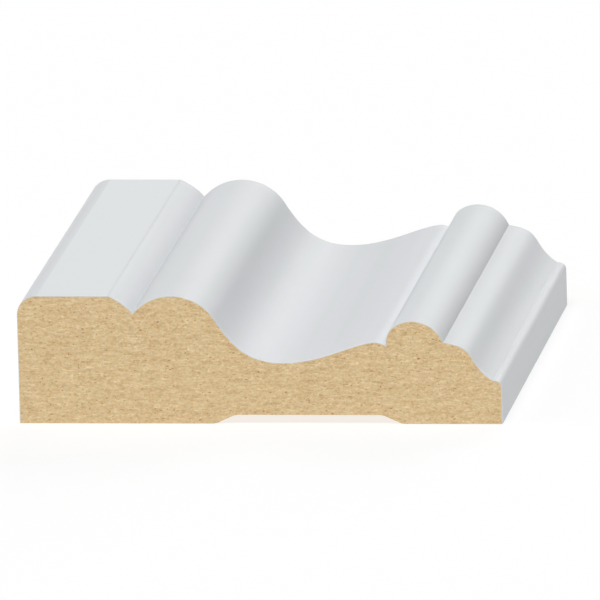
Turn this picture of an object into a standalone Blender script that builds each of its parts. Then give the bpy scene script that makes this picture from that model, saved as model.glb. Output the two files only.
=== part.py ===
"""One length of casing, the moulding that frames a door or window: a fibreboard strip, moulded on
its face, relieved on its back and cut square at both ends. It is primed on the face and both edges.

Run it with: blender --background --python part.py

The strip lies on its back. X runs across it from the thick outer edge to the thin inner edge,
Y runs along its length, and Z is up, out of the wall. The origin is the middle of the back.
Every size is in metres, and heights are measured from the back.
"""

import math

import bmesh
import bpy
from mathutils import Vector
from mathutils.geometry import interpolate_bezier

# The strip: three and a half inches wide, fifteen sixteenths thick, and cut four inches long.
WIDTH = 0.0889
THICKNESS = 0.0238
LENGTH = 0.1016

# Outer band: the flat beside the outer edge. It is the full thickness.
OUTER_ROUND = 0.0036  # radius of the outer edge's round
BAND_WIDTH = 0.0169  # from the outer edge to the arris where the shoulder starts
SHOULDER_RADIUS = 0.0119
SHOULDER_START = math.radians(22.8)  # how steeply the shoulder leaves the band

# Quirk and torus: the sharp groove, and the round that climbs out of it to the full thickness.
QUIRK_DEPTH = 0.00323
TORUS_RADIUS = 0.0094
TORUS_END = math.radians(58)  # how steep the torus is where the broad ogee takes over

# Broad ogee: it drops into the cove and climbs again, and fills the width that is left.
COVE_HEIGHT = 0.01135  # the lowest point of the face
COVE_PLACE = 0.394  # where that point is, as a share of the run from the torus to the bead
DROP_HOLD = (0.255, 0.51)  # how long the drop keeps its slope at each end, as shares of its run
RISE_HOLD = (0.42, 0.215)  # the same for the rise

# Bead and its seat: the ogee's crest and the inner cyma are at one height, either side of it.
SEAT_HEIGHT = 0.0152
CREST_SETBACK = 0.00205  # from the crest to the bead
CREASE_DEPTH = 0.00068  # how far the crest has dropped where it meets the bead
BEAD_HEIGHT = 0.01913
BEAD_NEAR_RADIUS = 0.0037  # the tight round on the ogee's side
BEAD_CROWN_RADIUS = 0.0062  # the broader round over the top and down to the cyma
BEAD_BLEND = math.radians(26)  # where the one takes over from the other, short of the top

# Inner cyma, fillet and edge: they step down to the thin edge beside the door or window.
CYMA_WIDTH = 0.0089
CYMA_SLOPE = (-0.13, -0.71)  # rise for each metre across, at its two ends
CYMA_HOLD = (0.725, 0.56)
FILLET_WIDTH = 0.00165
INNER_EDGE_HEIGHT = 0.00812
INNER_EASE = 0.0013  # radius that takes the corner off

# Back relief: a shallow channel that lets the casing sit flat on an uneven wall.
RELIEF_DEPTH = 0.00163
RELIEF_WIDTH = 0.0356
INNER_LAND = 0.0178  # the flat between the channel and the inner edge
RAMP_SLOPE = math.radians(24.5)
RAMP_BLEND = 0.0030  # radius where the ramp meets the land and the channel

# A curve is cut into facets no longer than this, and an arc turns no more than this at each.
FACET_LENGTH = 0.0004
FACET_TURN = math.radians(6)
ARRIS_ANGLE = math.radians(15)  # edges sharper than this stay crisp

PRIMER_COLOUR = (0.74, 0.77, 0.78, 1.0)
FIBREBOARD_COLOUR = (0.65, 0.48, 0.26, 1.0)


def facets(length):
    """How many facets a curve of that length takes."""
    return max(2, math.ceil(length / FACET_LENGTH))


def arc(centre_x, centre_z, radius, start, end):
    """Points on an arc. An angle is how far the face leans from level: 0 at the top of a round,
    a quarter turn where it is upright, positive towards the inner edge."""
    turn = abs(end - start)
    count = max(facets(radius * turn), math.ceil(turn / FACET_TURN))
    angles = [start + (end - start) * step / count for step in range(count + 1)]
    return [(centre_x + radius * math.sin(a), centre_z + radius * math.cos(a)) for a in angles]


def lean(radius, height):
    """How far a round of that radius leans at a height above its centre. It is upright at its
    centre, and its side goes straight down from there."""
    return math.acos(min(1.0, max(0.0, height / radius)))


def s_curve(start, end, slopes, holds):
    """Points on a smooth curve that leaves start and reaches end at the slopes given, and keeps
    each of them for that share of the run."""
    run = end[0] - start[0]
    leave = Vector((start[0] + holds[0] * run, start[1] + holds[0] * run * slopes[0]))
    reach = Vector((end[0] - holds[1] * run, end[1] - holds[1] * run * slopes[1]))
    count = facets(math.dist(start, end))
    points = interpolate_bezier(Vector(start), leave, reach, Vector(end), count + 1)
    return [(point.x, point.y) for point in points]


def band_and_shoulder():
    """Outer round, flat band, and the shoulder that falls to the bottom of the quirk."""
    outer_round = arc(OUTER_ROUND, THICKNESS - OUTER_ROUND, OUTER_ROUND, -math.pi / 2, 0)
    centre_x = BAND_WIDTH - SHOULDER_RADIUS * math.sin(SHOULDER_START)
    centre_z = THICKNESS - SHOULDER_RADIUS * math.cos(SHOULDER_START)
    quirk_z = THICKNESS - QUIRK_DEPTH
    steepest = lean(SHOULDER_RADIUS, quirk_z - centre_z)
    shoulder = arc(centre_x, centre_z, SHOULDER_RADIUS, SHOULDER_START, steepest)
    quirk = (shoulder[-1][0], quirk_z)
    return outer_round + shoulder[:-1] + [quirk]


def torus(quirk):
    """The round from the bottom of the quirk, over the full thickness, to where the ogee starts."""
    centre_z = THICKNESS - TORUS_RADIUS
    foot = lean(TORUS_RADIUS, quirk[1] - centre_z)
    centre_x = quirk[0] + TORUS_RADIUS * math.sin(foot)
    return arc(centre_x, centre_z, TORUS_RADIUS, -foot, TORUS_END)


def broad_ogee(torus_end, bead_x):
    """From the torus down to the cove's lowest point, and up to the crest beside the bead."""
    lowest = (torus_end[0] + COVE_PLACE * (bead_x - torus_end[0]), COVE_HEIGHT)
    crest = (bead_x - CREST_SETBACK, SEAT_HEIGHT)
    drop = s_curve(torus_end, lowest, (-math.tan(TORUS_END), 0), DROP_HOLD)
    rise = s_curve(lowest, crest, (0, 0), RISE_HOLD)
    crest_radius = (CREST_SETBACK**2 + CREASE_DEPTH**2) / (2 * CREASE_DEPTH)
    crest_turn = math.asin(CREST_SETBACK / crest_radius)
    fall = arc(crest[0], SEAT_HEIGHT - crest_radius, crest_radius, 0, crest_turn)
    return drop[1:] + rise[1:] + fall[1:-1]


def bead():
    """The bead from its near crease to its far one, with the near crease at zero across."""
    crease_z = SEAT_HEIGHT - CREASE_DEPTH
    crown_centre_z = BEAD_HEIGHT - BEAD_CROWN_RADIUS
    offset = BEAD_CROWN_RADIUS - BEAD_NEAR_RADIUS
    near_centre_z = crown_centre_z + offset * math.cos(BEAD_BLEND)
    near_lean = lean(BEAD_NEAR_RADIUS, crease_z - near_centre_z)
    near_centre_x = BEAD_NEAR_RADIUS * math.sin(near_lean)
    crown_centre_x = near_centre_x + offset * math.sin(BEAD_BLEND)
    far_lean = lean(BEAD_CROWN_RADIUS, SEAT_HEIGHT - crown_centre_z)
    near = arc(near_centre_x, near_centre_z, BEAD_NEAR_RADIUS, -near_lean, -BEAD_BLEND)
    crown = arc(crown_centre_x, crown_centre_z, BEAD_CROWN_RADIUS, -BEAD_BLEND, far_lean)
    return [(0, crease_z)] + near[:-1] + crown


def cyma_and_edge():
    """From the bead's far crease down to the fillet, and round the eased inner corner."""
    foot = (WIDTH - FILLET_WIDTH, INNER_EDGE_HEIGHT)
    head = (foot[0] - CYMA_WIDTH, SEAT_HEIGHT)
    cyma = s_curve(head, foot, CYMA_SLOPE, CYMA_HOLD)
    ease_radius = min(INNER_EASE, FILLET_WIDTH)
    ease = arc(WIDTH - ease_radius, INNER_EDGE_HEIGHT - ease_radius, ease_radius, 0, math.pi / 2)
    return cyma[1:] + ease


def moulded_face():
    """Points across the face, from the outer edge to the inner edge."""
    band = band_and_shoulder()
    round_over = torus(band[-1])
    bead_points = bead()
    bead_x = WIDTH - FILLET_WIDTH - CYMA_WIDTH - bead_points[-1][0]
    ogee = broad_ogee(round_over[-1], bead_x)
    placed_bead = [(bead_x + x, z) for x, z in bead_points]
    return band + round_over[1:] + ogee + placed_bead + cyma_and_edge()


def ramp():
    """One side of the back relief, as (across, up) from the land to the channel's floor."""
    rounding = 1 - math.cos(RAMP_SLOPE)
    blend = min(RAMP_BLEND, RELIEF_DEPTH / (2 * rounding))
    straight = (RELIEF_DEPTH - 2 * blend * rounding) / math.tan(RAMP_SLOPE)
    span = straight + 2 * blend * math.sin(RAMP_SLOPE)
    toe = [(x, blend - z) for x, z in arc(0, 0, blend, 0, RAMP_SLOPE)]
    head = [(span - x, RELIEF_DEPTH - z) for x, z in reversed(toe)]
    return toe + head


def relieved_back():
    """Points across the back, from the outer edge to the inner edge."""
    inner_x = WIDTH - INNER_LAND
    outer_x = inner_x - RELIEF_WIDTH
    outer_ramp = [(outer_x + x, z) for x, z in ramp()]
    inner_ramp = [(inner_x - x, z) for x, z in reversed(ramp())]
    return [(0, 0)] + outer_ramp + inner_ramp + [(WIDTH, 0)]


def material(name, colour, roughness):
    finish = bpy.data.materials.new(name)
    finish.use_nodes = True
    shader = finish.node_tree.nodes["Principled BSDF"]
    shader.inputs["Base Color"].default_value = colour
    shader.inputs["Roughness"].default_value = roughness
    shader.inputs["Metallic"].default_value = 0.0
    return finish


def casing():
    """The outline as one face at the near end, extruded to the far end."""
    outline = relieved_back() + moulded_face()[::-1]
    shape = bmesh.new()
    corners = [shape.verts.new((x - WIDTH / 2, -LENGTH / 2, z)) for x, z in outline]
    near_end = shape.faces.new(corners)
    made = bmesh.ops.extrude_face_region(shape, geom=[near_end])["geom"]
    far_corners = [item for item in made if isinstance(item, bmesh.types.BMVert)]
    bmesh.ops.translate(shape, vec=(0, LENGTH, 0), verts=far_corners)
    bmesh.ops.recalc_face_normals(shape, faces=shape.faces)

    mesh = bpy.data.meshes.new("casing_moulding")
    shape.to_mesh(mesh)
    shape.free()
    mesh.materials.append(material("primer", PRIMER_COLOUR, 0.55))
    mesh.materials.append(material("fibreboard", FIBREBOARD_COLOUR, 0.9))
    for polygon in mesh.polygons:
        at_end = abs(polygon.normal.y) > abs(polygon.normal.z)
        on_back = polygon.normal.z < 0 and polygon.center.z <= RELIEF_DEPTH
        polygon.material_index = 1 if at_end or on_back else 0
    mesh.shade_smooth()
    mesh.set_sharp_from_angle(angle=ARRIS_ANGLE)
    strip = bpy.data.objects.new("casing_moulding", mesh)
    bpy.context.scene.collection.objects.link(strip)


for leftover in list(bpy.data.objects):
    bpy.data.objects.remove(leftover)
casing()
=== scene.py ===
"""A length of primed casing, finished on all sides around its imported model."""

import math

import bpy
from mathutils import Euler, Matrix, Vector


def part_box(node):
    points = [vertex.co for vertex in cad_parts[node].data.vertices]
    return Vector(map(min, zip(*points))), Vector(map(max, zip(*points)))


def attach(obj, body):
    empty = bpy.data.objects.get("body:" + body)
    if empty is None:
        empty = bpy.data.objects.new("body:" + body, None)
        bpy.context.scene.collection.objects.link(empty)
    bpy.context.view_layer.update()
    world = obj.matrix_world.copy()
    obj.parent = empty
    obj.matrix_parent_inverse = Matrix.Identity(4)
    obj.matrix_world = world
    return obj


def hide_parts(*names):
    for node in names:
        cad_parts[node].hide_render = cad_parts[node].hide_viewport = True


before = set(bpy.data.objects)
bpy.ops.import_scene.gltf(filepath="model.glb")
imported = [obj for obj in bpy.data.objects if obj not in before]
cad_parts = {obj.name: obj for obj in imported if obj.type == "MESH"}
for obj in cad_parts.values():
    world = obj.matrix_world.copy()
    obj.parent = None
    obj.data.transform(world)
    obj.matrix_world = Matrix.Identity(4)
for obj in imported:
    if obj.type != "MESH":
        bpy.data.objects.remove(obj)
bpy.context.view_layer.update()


# The strip is medium density fibreboard, run through a moulder as a long stick, its back sanded and
# its ends cut square with a fine saw. It is one film thinner than the finished casing on the face
# and edges, where the primer lies. The saw leaves the fibres at its ends torn and a little uneven.
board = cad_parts["casing_moulding"]
low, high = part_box("casing_moulding")
length = high[1] - low[1]
MERGE = 0.000001
FLAT = math.radians(0.05)  # faces that turn less than this are one face
ARRIS = math.radians(15)  # edges that turn more than this stay crisp
FILM = 0.00012
FILM_GAP = 0.00001
TOOTH_PITCH = 0.0004
TOOTH_DEPTH = 0.00005
TOOTH_GRAIN = 0.0005

FIBRE_SIZE = (0.00085, 0.0009, 0.00030)  # fibres lie flat, so they are longest in X and Y
PALE_FIBRE = (0.895, 0.718, 0.445, 1)
WARM_FIBRE = (0.724, 0.519, 0.273, 1)
COOL_FIBRE = (0.682, 0.523, 0.295, 1)
DARK_FIBRE = (0.430, 0.205, 0.055, 1)
NOISE_SPAN = (0.3, 0.7)  # nearly all of a noise lies between these
NOISE_MIDDLE = (0.35, 0.65)
SAWN_CONTRAST = 3.2
SAWN_ROUGHNESS = (0.95, 0.85)  # between the fibres, and on top of them
SAWN_RELIEF = 0.00003
SANDED_CONTRAST = 1.4
SANDED_ROUGHNESS = (0.8, 0.65)
SANDED_RELIEF = 0.00001


def activate(piece):
    """Makes a piece the one that the operators work on."""
    bpy.ops.object.select_all(action="DESELECT")
    piece.select_set(True)
    bpy.context.view_layer.objects.active = piece


def copy_of_board(name):
    """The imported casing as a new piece, with its loose triangles merged and its flats whole."""
    piece = bpy.data.objects.new(name, board.data.copy())
    piece.data.name = name
    piece.data.materials.clear()
    bpy.context.scene.collection.objects.link(piece)
    activate(piece)
    bpy.ops.mesh.customdata_custom_splitnormals_clear()
    bpy.ops.object.mode_set(mode="EDIT")
    bpy.ops.mesh.select_mode(type="FACE")
    bpy.ops.mesh.select_all(action="SELECT")
    bpy.ops.mesh.remove_doubles(threshold=MERGE)
    bpy.ops.mesh.dissolve_limited(angle_limit=FLAT)
    bpy.ops.mesh.select_all(action="DESELECT")
    bpy.ops.object.mode_set(mode="OBJECT")
    return piece


def at_end(face):
    """True for a face of the sawn ends."""
    return abs(face.normal.y) > abs(face.normal.x) + abs(face.normal.z)


def on_back(face):
    """True for a face of the back, in the relief too."""
    return face.normal.z < -0.5 and not at_end(face)


def select_faces(piece, wanted):
    """Goes into edit mode with just the wanted faces selected."""
    for face in piece.data.polygons:
        face.select = wanted(face)
    bpy.ops.object.mode_set(mode="EDIT")


def slice_across(axis, pitch):
    """Cuts the mesh in edit mode with even parallel planes, across X or up Z."""
    start, end = low[axis], high[axis]
    cuts = int((end - start) / pitch)
    normal = Vector((0, 0, 0))
    normal[axis] = 1
    for cut in range(1, cuts):
        bpy.ops.mesh.select_all(action="SELECT")
        bpy.ops.mesh.bisect(plane_co=normal * (start + (end - start) * cut / cuts), plane_no=normal)
    bpy.ops.mesh.select_all(action="DESELECT")


def roughen(piece, corners, direction, depth):
    """Moves those vertices by a fine grain of up to that depth."""
    group = piece.vertex_groups.new(name="torn by the saw")
    group.add(corners, 1.0, "REPLACE")
    grain = bpy.data.textures.new("saw grain", "CLOUDS")
    grain.noise_scale = TOOTH_GRAIN
    grain.noise_depth = 2
    activate(piece)
    bpy.ops.object.modifier_add(type="DISPLACE")
    torn = piece.modifiers[-1]
    torn.texture = grain
    torn.texture_coords = "LOCAL"
    torn.vertex_group = group.name
    torn.direction = direction
    torn.mid_level = 0.0
    torn.strength = depth
    bpy.ops.object.modifier_apply(modifier=torn.name)


strip = copy_of_board("casing_strip")
select_faces(strip, lambda face: not at_end(face) and not on_back(face))
bpy.ops.transform.shrink_fatten(value=-FILM - FILM_GAP, use_even_offset=True)
slice_across(0, TOOTH_PITCH)
slice_across(2, TOOTH_PITCH)
bpy.ops.object.mode_set(mode="OBJECT")
sides = {corner for face in strip.data.polygons if not at_end(face) for corner in face.vertices}
sawn_corners = [v.index for v in strip.data.vertices if v.index not in sides]
roughen(strip, sawn_corners, "NORMAL", -TOOTH_DEPTH)
bpy.ops.object.shade_smooth_by_angle(angle=ARRIS)


def new_material(name):
    """An empty material, its node tree and its shader."""
    material = bpy.data.materials.new(name)
    material.use_nodes = True
    return material, material.node_tree, material.node_tree.nodes["Principled BSDF"]


def plug(tree, value, socket):
    """Feeds a socket from another, or sets it to a plain value."""
    if isinstance(value, bpy.types.NodeSocket):
        tree.links.new(value, socket)
    else:
        socket.default_value = value


def object_place(tree):
    """Where a point is on the object, in metres."""
    return tree.nodes.new("ShaderNodeTexCoord").outputs["Object"]


def scaled(tree, place, size):
    """A place in units of that size along each axis."""
    mapping = tree.nodes.new("ShaderNodeMapping")
    mapping.inputs["Scale"].default_value = [1 / s for s in size]
    tree.links.new(place, mapping.inputs["Vector"])
    return mapping.outputs["Vector"]


def stretched(tree, place, factors, shift=(0, 0, 0)):
    """A place with each axis multiplied, and moved so that patterns don't repeat each other."""
    mapping = tree.nodes.new("ShaderNodeMapping")
    mapping.inputs["Scale"].default_value = factors
    mapping.inputs["Location"].default_value = shift
    tree.links.new(place, mapping.inputs["Vector"])
    return mapping.outputs["Vector"]


def cloud(tree, place, detail, roughness=0.5):
    """Soft noise about one unit across, with that many finer layers."""
    noise = tree.nodes.new("ShaderNodeTexNoise")
    noise.inputs["Scale"].default_value = 1.0
    noise.inputs["Detail"].default_value = detail
    noise.inputs["Roughness"].default_value = roughness
    tree.links.new(place, noise.inputs["Vector"])
    return noise.outputs["Fac"]


def between(tree, value, start, end, first=0.0, last=1.0):
    """Goes smoothly from the first value to the last as the input goes from start to end."""
    band = tree.nodes.new("ShaderNodeMapRange")
    band.interpolation_type = "SMOOTHSTEP"
    plug(tree, value, band.inputs["Value"])
    band.inputs["From Min"].default_value = start
    band.inputs["From Max"].default_value = end
    band.inputs["To Min"].default_value = first
    band.inputs["To Max"].default_value = last
    return band.outputs["Result"]


def maths(tree, operation, first, second=0.0, third=0.0):
    """One sum on two or three values."""
    step = tree.nodes.new("ShaderNodeMath")
    step.operation = operation
    for value, socket in zip((first, second, third), step.inputs):
        plug(tree, value, socket)
    return step.outputs["Value"]


def blended(tree, share, first, second):
    """A colour between two others."""
    mix = tree.nodes.new("ShaderNodeMix")
    mix.data_type = "RGBA"
    plug(tree, share, mix.inputs[0])
    plug(tree, first, mix.inputs[6])
    plug(tree, second, mix.inputs[7])
    return mix.outputs[2]


def relief(tree, shader, height, depth):
    """Gives a shader's surface a relief of that depth."""
    bump = tree.nodes.new("ShaderNodeBump")
    bump.inputs["Distance"].default_value = depth
    tree.links.new(height, bump.inputs["Height"])
    tree.links.new(bump.outputs["Normal"], shader.inputs["Normal"])


def board_fibre_group():
    """Pressed wood fibre, in units of one fibre: matted fibres, pale bundles and dark bark."""
    group = bpy.data.node_groups.new("board fibre", "ShaderNodeTree")
    for name, kind in (("Place", "Vector"), ("Contrast", "Float")):
        group.interface.new_socket(name=name, in_out="INPUT", socket_type=f"NodeSocket{kind}")
    for name in ("Pale", "Warm", "Cool", "Dark"):
        group.interface.new_socket(name=name, in_out="INPUT", socket_type="NodeSocketColor")
    for name, kind in (("Colour", "Color"), ("Height", "Float")):
        group.interface.new_socket(name=name, in_out="OUTPUT", socket_type=f"NodeSocket{kind}")
    given = group.nodes.new("NodeGroupInput").outputs
    result = group.nodes.new("NodeGroupOutput").inputs

    # The layers of fibre wander up and down a little.
    sway = cloud(group, stretched(group, given["Place"], (0.15, 0.15, 0.03)), 1.0)
    rise = maths(group, "MULTIPLY", maths(group, "SUBTRACT", sway, 0.5), 1.5)
    tilt = group.nodes.new("ShaderNodeCombineXYZ")
    plug(group, rise, tilt.inputs["Z"])
    swayed = group.nodes.new("ShaderNodeVectorMath")
    plug(group, given["Place"], swayed.inputs[0])
    plug(group, tilt.outputs["Vector"], swayed.inputs[1])
    place = swayed.outputs["Vector"]

    # The tone is half the matted fibres, a quarter the broad layers and a quarter the fine grain.
    mat = cloud(group, place, 3.0, 0.7)
    layers = cloud(group, stretched(group, place, (0.25, 0.25, 0.35), (3, 7, 5)), 2.0)
    grain = cloud(group, stretched(group, place, (2.4, 2.4, 0.9), (9, 2, 4)), 1.0)
    tone = maths(group, "MULTIPLY_ADD", mat, 0.5, maths(group, "MULTIPLY", layers, 0.25))
    tone = maths(group, "MULTIPLY_ADD", grain, 0.25, tone)

    # Pale wood shows as bundles, and in some patches as thin winding threads.
    bundles = cloud(group, stretched(group, place, (0.55, 0.55, 0.8), (1, 8, 2)), 1.0)
    bundles = between(group, bundles, 0.60, 0.72)
    thread = cloud(group, stretched(group, place, (0.5, 0.5, 0.45), (2, 5, 8)), 1.0)
    thread = maths(group, "ABSOLUTE", maths(group, "SUBTRACT", thread, 0.5))
    thread = between(group, thread, 0.07, 0.0)
    patch = cloud(group, stretched(group, place, (0.35, 0.35, 0.6), (5, 9, 1)), 1.0)
    thread = maths(group, "MULTIPLY", thread, between(group, patch, 0.5, 0.6))
    pale = maths(group, "MAXIMUM", bundles, thread)

    # Bark shows as dark chips and smaller specks.
    chips = cloud(group, stretched(group, place, (0.8, 0.8, 0.75), (6, 3, 9)), 1.5)
    chips = between(group, chips, 0.67, 0.75)
    specks = cloud(group, stretched(group, place, (1.9, 1.9, 0.8), (4, 4, 1)), 0.0)
    specks = between(group, specks, 0.74, 0.82)
    bark = maths(group, "MAXIMUM", chips, specks)

    lift = maths(group, "MULTIPLY", maths(group, "SUBTRACT", tone, 0.5), given["Contrast"])
    light_share = maths(group, "MAXIMUM", lift, 0.0)
    dark_share = maths(group, "MAXIMUM", maths(group, "MULTIPLY", lift, -1.0), 0.0)
    light_share = maths(group, "MULTIPLY_ADD", pale, 0.5, light_share)
    dark_share = maths(group, "MULTIPLY_ADD", bark, 0.75, dark_share)
    hue = cloud(group, stretched(group, place, (1.1, 1.1, 0.7), (8, 1, 6)), 1.0)
    hue = between(group, hue, *NOISE_MIDDLE)
    board_colour = blended(group, hue, given["Warm"], given["Cool"])
    colour = blended(group, light_share, board_colour, given["Pale"])
    plug(group, blended(group, dark_share, colour, given["Dark"]), result["Colour"])
    raised = maths(group, "MULTIPLY_ADD", pale, 0.3, tone)
    plug(group, maths(group, "MULTIPLY_ADD", bark, -0.5, raised), result["Height"])
    return group


board_fibre = board_fibre_group()


def fibre(tree, contrast):
    """Places the fibre group in a material, in this board's colours."""
    node = tree.nodes.new("ShaderNodeGroup")
    node.node_tree = board_fibre
    plug(tree, scaled(tree, object_place(tree), FIBRE_SIZE), node.inputs["Place"])
    node.inputs["Contrast"].default_value = contrast
    node.inputs["Pale"].default_value = PALE_FIBRE
    node.inputs["Warm"].default_value = WARM_FIBRE
    node.inputs["Cool"].default_value = COOL_FIBRE
    node.inputs["Dark"].default_value = DARK_FIBRE
    return node.outputs


sawn, tree, shader = new_material("sawn fibreboard")
torn_fibre = fibre(tree, SAWN_CONTRAST)
sheen = between(tree, torn_fibre["Height"], *NOISE_SPAN, *SAWN_ROUGHNESS)
plug(tree, torn_fibre["Colour"], shader.inputs["Base Color"])
plug(tree, sheen, shader.inputs["Roughness"])
relief(tree, shader, torn_fibre["Height"], SAWN_RELIEF)
strip.data.materials.append(sawn)

sanded, tree, shader = new_material("sanded fibreboard")
flat_fibre = fibre(tree, SANDED_CONTRAST)
sheen = between(tree, flat_fibre["Height"], *NOISE_SPAN, *SANDED_ROUGHNESS)
plug(tree, flat_fibre["Colour"], shader.inputs["Base Color"])
plug(tree, sheen, shader.inputs["Roughness"])
relief(tree, shader, flat_fibre["Height"], SANDED_RELIEF)
strip.data.materials.append(sanded)
for face in strip.data.polygons:
    face.material_index = 0 if at_end(face) else 1

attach(strip, "root")
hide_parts("casing_moulding")


# The primer is sprayed on the stick before it is cut: a thin film over the face and both edges,
# with the faint orange peel of the spray. Its colour also holds painted light: a painted highlight
# on the level band, and painted shade on the outer round, along the arris, in the creases and on
# the tops of the torus, the crest and the bead. Its edge is a little torn where the saw went
# through it.
PRIMER_WHITE = (0.738, 0.768, 0.776, 1)
PRIMER_STREAK = (0.762, 0.768, 0.796, 1)
# the lighter colour laid on the level band as a painted highlight
PRIMER_PAINTED_HIGHLIGHT = (0.770, 0.805, 0.816, 1)
# the darker colour laid as painted shade on the round, the arris, the creases and the tops
PRIMER_PAINTED_SHADE = (0.704, 0.723, 0.741, 1)
PRIMER_ROUGHNESS = (0.57, 0.63)
STREAK_SIZE = (0.004, 0.15, 0.004)
PEEL_SIZE = (0.0014, 0.0014, 0.0014)
PEEL_RELIEF = 0.000004
BAND_STARTS = (-0.0411, -0.0405)  # how far across the round gives way to the level band
BAND_ENDS = (-0.0273, -0.0277)  # and, from the other side, the shoulder to the band
EDGE_PAINTED_SHADE = 0.75  # how much painted shade darkens the outer edge and its round
PAINTED_SHADE_PLACES = (  # where painted shade goes: how far across each is, how wide it is to either side, and how dark its painted shade is
    (-0.02755, 0.00045, 1.0),  # a painted shade line along the arris
    (-0.0231, 0.0026, 1.0),  # painted shade in the quirk
    (0.0233, 0.0026, 1.0),  # painted shade in the bead's near crease
    (0.0339, 0.0026, 1.0),  # painted shade in the bead's far crease
    (-0.0155, 0.0035, 0.6),  # painted shade on the torus' top
    (0.0213, 0.0024, 0.8),  # painted shade on the crest beside the bead
    (0.0278, 0.0025, 0.45),  # painted shade on the bead's top
)
TEAR_DEPTH = 0.00005
TEAR_REACH = 0.0003

film = copy_of_board("primer")
select_faces(film, lambda face: at_end(face) or on_back(face))
bpy.ops.mesh.delete(type="FACE")
slice_across(0, TOOTH_PITCH)
slice_across(2, TOOTH_PITCH)
for side in (-1, 1):
    bpy.ops.mesh.select_all(action="SELECT")
    bpy.ops.mesh.bisect(plane_co=(0, side * (length / 2 - TEAR_REACH), 0), plane_no=(0, 1, 0))
bpy.ops.object.mode_set(mode="OBJECT")
for side in (-1, 1):
    cut = [v.index for v in film.data.vertices if v.co.y * side > length / 2 - MERGE]
    roughen(film, cut, "Y", -side * TEAR_DEPTH)
bpy.ops.object.modifier_add(type="SOLIDIFY")
wall = film.modifiers[-1]
wall.thickness = FILM
wall.offset = -1.0
wall.use_even_offset = True
bpy.ops.object.modifier_apply(modifier=wall.name)
bpy.ops.object.shade_smooth_by_angle(angle=ARRIS)

primer, tree, shader = new_material("sprayed primer")
place = object_place(tree)
streak = cloud(tree, scaled(tree, place, STREAK_SIZE), 2.0)
peel = cloud(tree, scaled(tree, place, PEEL_SIZE), 1.0)
colour = blended(tree, between(tree, streak, *NOISE_MIDDLE), PRIMER_WHITE, PRIMER_STREAK)
apart = tree.nodes.new("ShaderNodeSeparateXYZ")
tree.links.new(place, apart.inputs["Vector"])
across = apart.outputs["X"]
# Painted highlight: the level band between the round and the shoulder is coloured lighter.
past_round = between(tree, across, *BAND_STARTS)
before_shoulder = between(tree, across, *BAND_ENDS)
level = maths(tree, "MULTIPLY", past_round, before_shoulder)
colour = blended(tree, level, colour, PRIMER_PAINTED_HIGHLIGHT)
# Painted shade: the outer round and each listed place are coloured darker.
painted_shade = between(tree, across, *BAND_STARTS, EDGE_PAINTED_SHADE, 0.0)
for middle, reach, shade_strength in PAINTED_SHADE_PLACES:
    off = maths(tree, "ABSOLUTE", maths(tree, "SUBTRACT", across, middle))
    painted_shade = maths(tree, "MAXIMUM", painted_shade, between(tree, off, reach, 0.0, 0.0, shade_strength))
colour = blended(tree, painted_shade, colour, PRIMER_PAINTED_SHADE)
plug(tree, colour, shader.inputs["Base Color"])
plug(tree, between(tree, peel, *NOISE_SPAN, *PRIMER_ROUGHNESS), shader.inputs["Roughness"])
relief(tree, shader, peel, PEEL_RELIEF)
film.data.materials.append(primer)

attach(film, "root")


# The casing lies on a plain white floor that glows, as a light table does. The soft light is a
# broad lamp overhead and in front, a fill from the left, and a lamp behind that draws a sheen
# along the primer. The camera looks almost along the strip, from far off.
FLOOR_WIDTH = 8.0
FLOOR_DROP = 0.00003  # below the back, so that the two never share a plane
FLOOR_GLOW = 0.70
FLOOR_SHADE = (0.325, 0.325, 0.325, 1)
FLOOR_ROUGHNESS = 0.9
SURROUNDING_LIGHT = 0.173
BACKDROP_BRIGHTNESS = 1.0
WHITE = (1, 1, 1, 1)
LAMPS = (  # name, where it shines from, how wide it looks in degrees, and its strength
    ("overhead softbox", (0.0, -0.5, 1.0), 30, 1.86),
    ("left fill", (-1.0, -0.3, 0.35), 60, 0.97),
    ("back light", (0.15, 0.97, 0.4), 30, 0.90),
)
AZIMUTH = math.radians(7.58)
ELEVATION = math.radians(12.26)
ROLL = math.radians(-1.545)
DISTANCE = 4.611
AIM = Vector((0.00104, 0.0, 0.01198))
SENSOR_MM = 36
LENS_MM = 1500
FAR_CLIP = 100

bpy.ops.mesh.primitive_plane_add(size=FLOOR_WIDTH, location=(0, 0, -FLOOR_DROP))
floor = bpy.context.object
floor.name = "floor"
paper, tree, shader = new_material("white floor")
shader.inputs["Base Color"].default_value = FLOOR_SHADE
shader.inputs["Roughness"].default_value = FLOOR_ROUGHNESS
shader.inputs["Specular IOR Level"].default_value = 0.0
shader.inputs["Emission Color"].default_value = WHITE
shader.inputs["Emission Strength"].default_value = FLOOR_GLOW
floor.data.materials.append(paper)

world = bpy.data.worlds.new("studio")
bpy.context.scene.world = world
world.use_nodes = True
sky = world.node_tree
background = sky.nodes["Background"]
seen = sky.nodes.new("ShaderNodeLightPath").outputs["Is Camera Ray"]
brightness = between(sky, seen, 0.0, 1.0, SURROUNDING_LIGHT, BACKDROP_BRIGHTNESS)
sky.links.new(brightness, background.inputs["Strength"])
background.inputs["Color"].default_value = WHITE

for name, towards, spread, energy in LAMPS:
    bpy.ops.object.light_add(type="SUN", location=towards)
    lamp = bpy.context.object
    lamp.name = name
    lamp.data.angle = math.radians(spread)
    lamp.data.energy = energy
    lamp.rotation_euler = Vector(towards).to_track_quat("Z", "Y").to_euler()

bpy.ops.object.camera_add()
camera = bpy.context.object
camera.data.sensor_width = SENSOR_MM
camera.data.lens = LENS_MM
camera.data.clip_end = FAR_CLIP
turn = Euler((math.pi / 2 - ELEVATION, 0, AZIMUTH)).to_matrix() @ Matrix.Rotation(ROLL, 3, "Z")
camera.rotation_euler = turn.to_euler()
camera.location = AIM + turn @ Vector((0, 0, DISTANCE))
bpy.context.scene.camera = camera
bpy.context.scene.view_settings.view_transform = "Standard"
